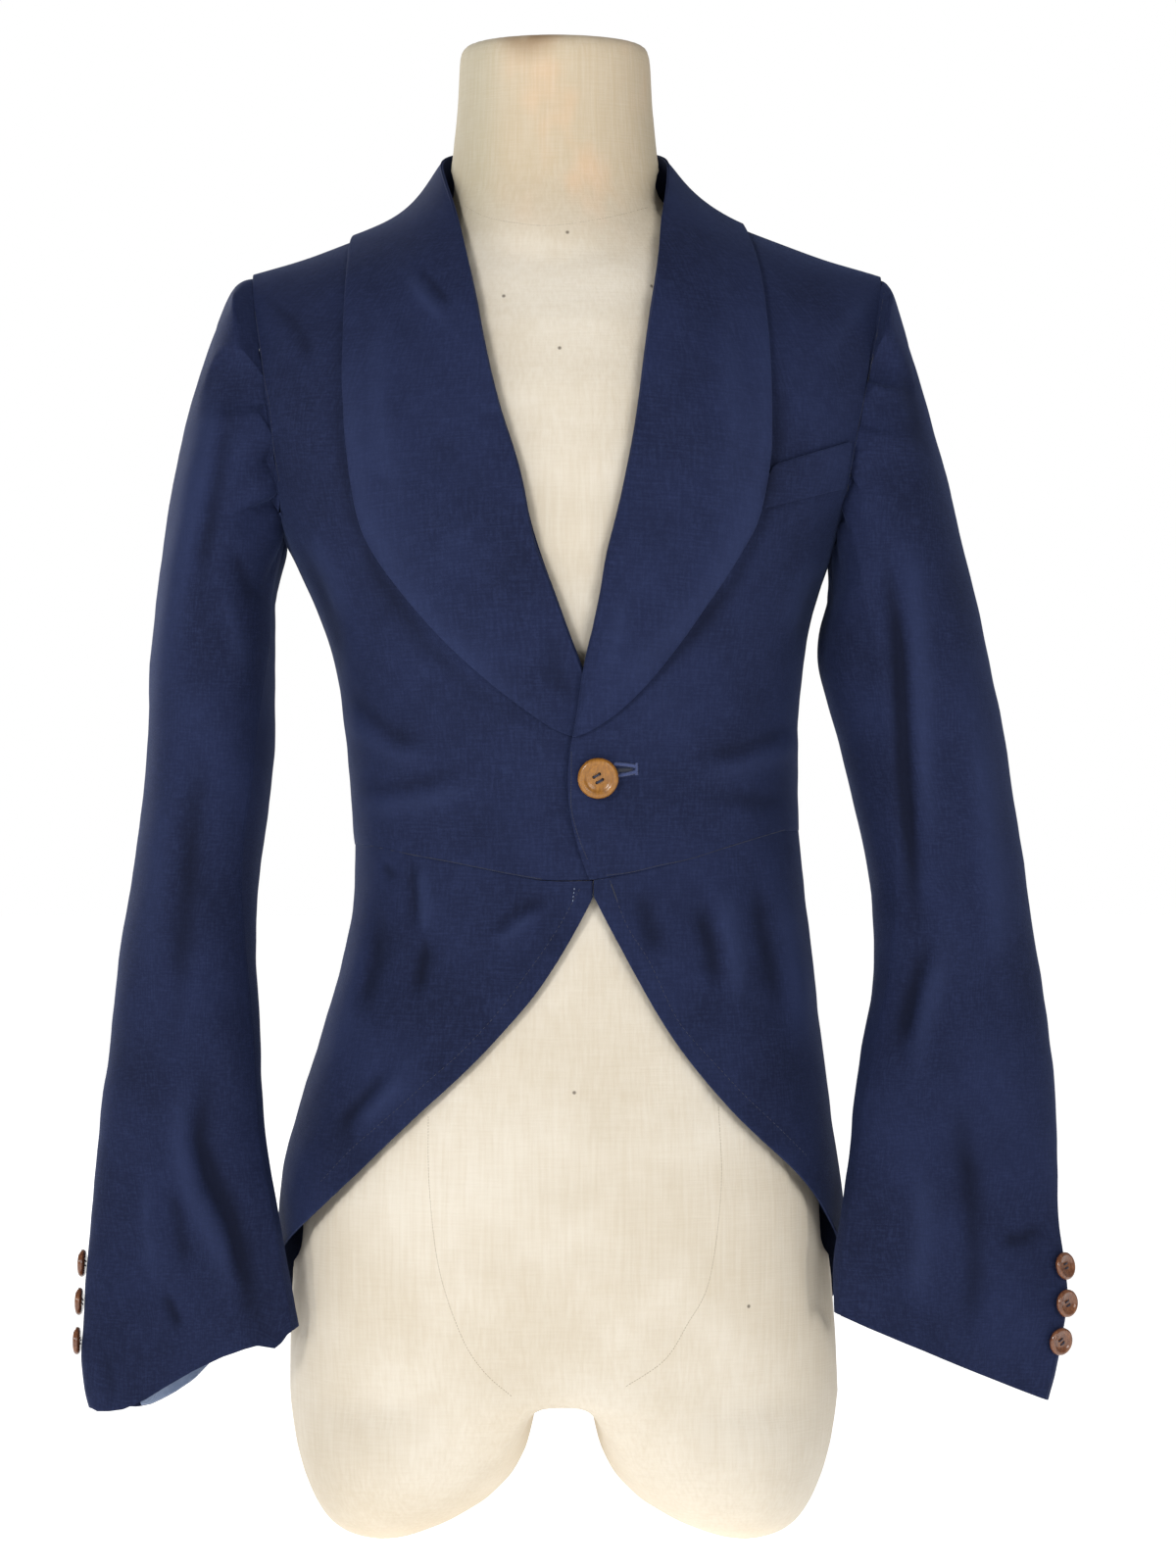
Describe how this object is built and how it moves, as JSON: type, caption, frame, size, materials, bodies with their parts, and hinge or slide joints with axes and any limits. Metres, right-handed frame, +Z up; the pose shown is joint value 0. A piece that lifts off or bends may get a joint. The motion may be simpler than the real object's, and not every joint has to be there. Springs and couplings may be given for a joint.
{
  "type": "tailcoat on a dress form",
  "caption": "Single-breasted tailcoat with a wide shawl collar, a cutaway front and long tails, on a limbless linen-covered dress form that stands on its thigh stubs.",
  "frame": {"origin": "middle of the underside of the whole, on the floor under the thigh stubs", "axes": "+Z up from the soles to the neck, the coat's front faces -Y, the wearer's left is at +X"},
  "size_m": [0.5832, 0.2578, 0.88],
  "materials": {
    "navy_cloth": "matt fine weave",
    "facing_cloth": "matt plain weave",
    "linen": "matt slubby weave",
    "front_button": "horn-like, soft sheen",
    "cuff_button": "polished, mottled"
  },
  "bodies": {
    "root": {"front_left": "navy_cloth", "back_left": "navy_cloth", "skirt_left": "navy_cloth", "shawl_left": "navy_cloth", "upper_sleeve_left": "navy_cloth", "under_sleeve_left": "navy_cloth", "cuff_button_left_1": "cuff_button", "cuff_button_left_2": "cuff_button", "cuff_button_left_3": "cuff_button", "front_right": "navy_cloth", "back_right": "navy_cloth", "skirt_right": "navy_cloth", "shawl_right": "navy_cloth", "upper_sleeve_right": "navy_cloth", "under_sleeve_right": "navy_cloth", "cuff_button_right_1": "cuff_button", "cuff_button_right_2": "cuff_button", "cuff_button_right_3": "cuff_button", "breast_welt": "navy_cloth", "cuff_facing_right": "facing_cloth", "front_button": "front_button", "dress_form": "linen"}
  },
  "joints": []
}
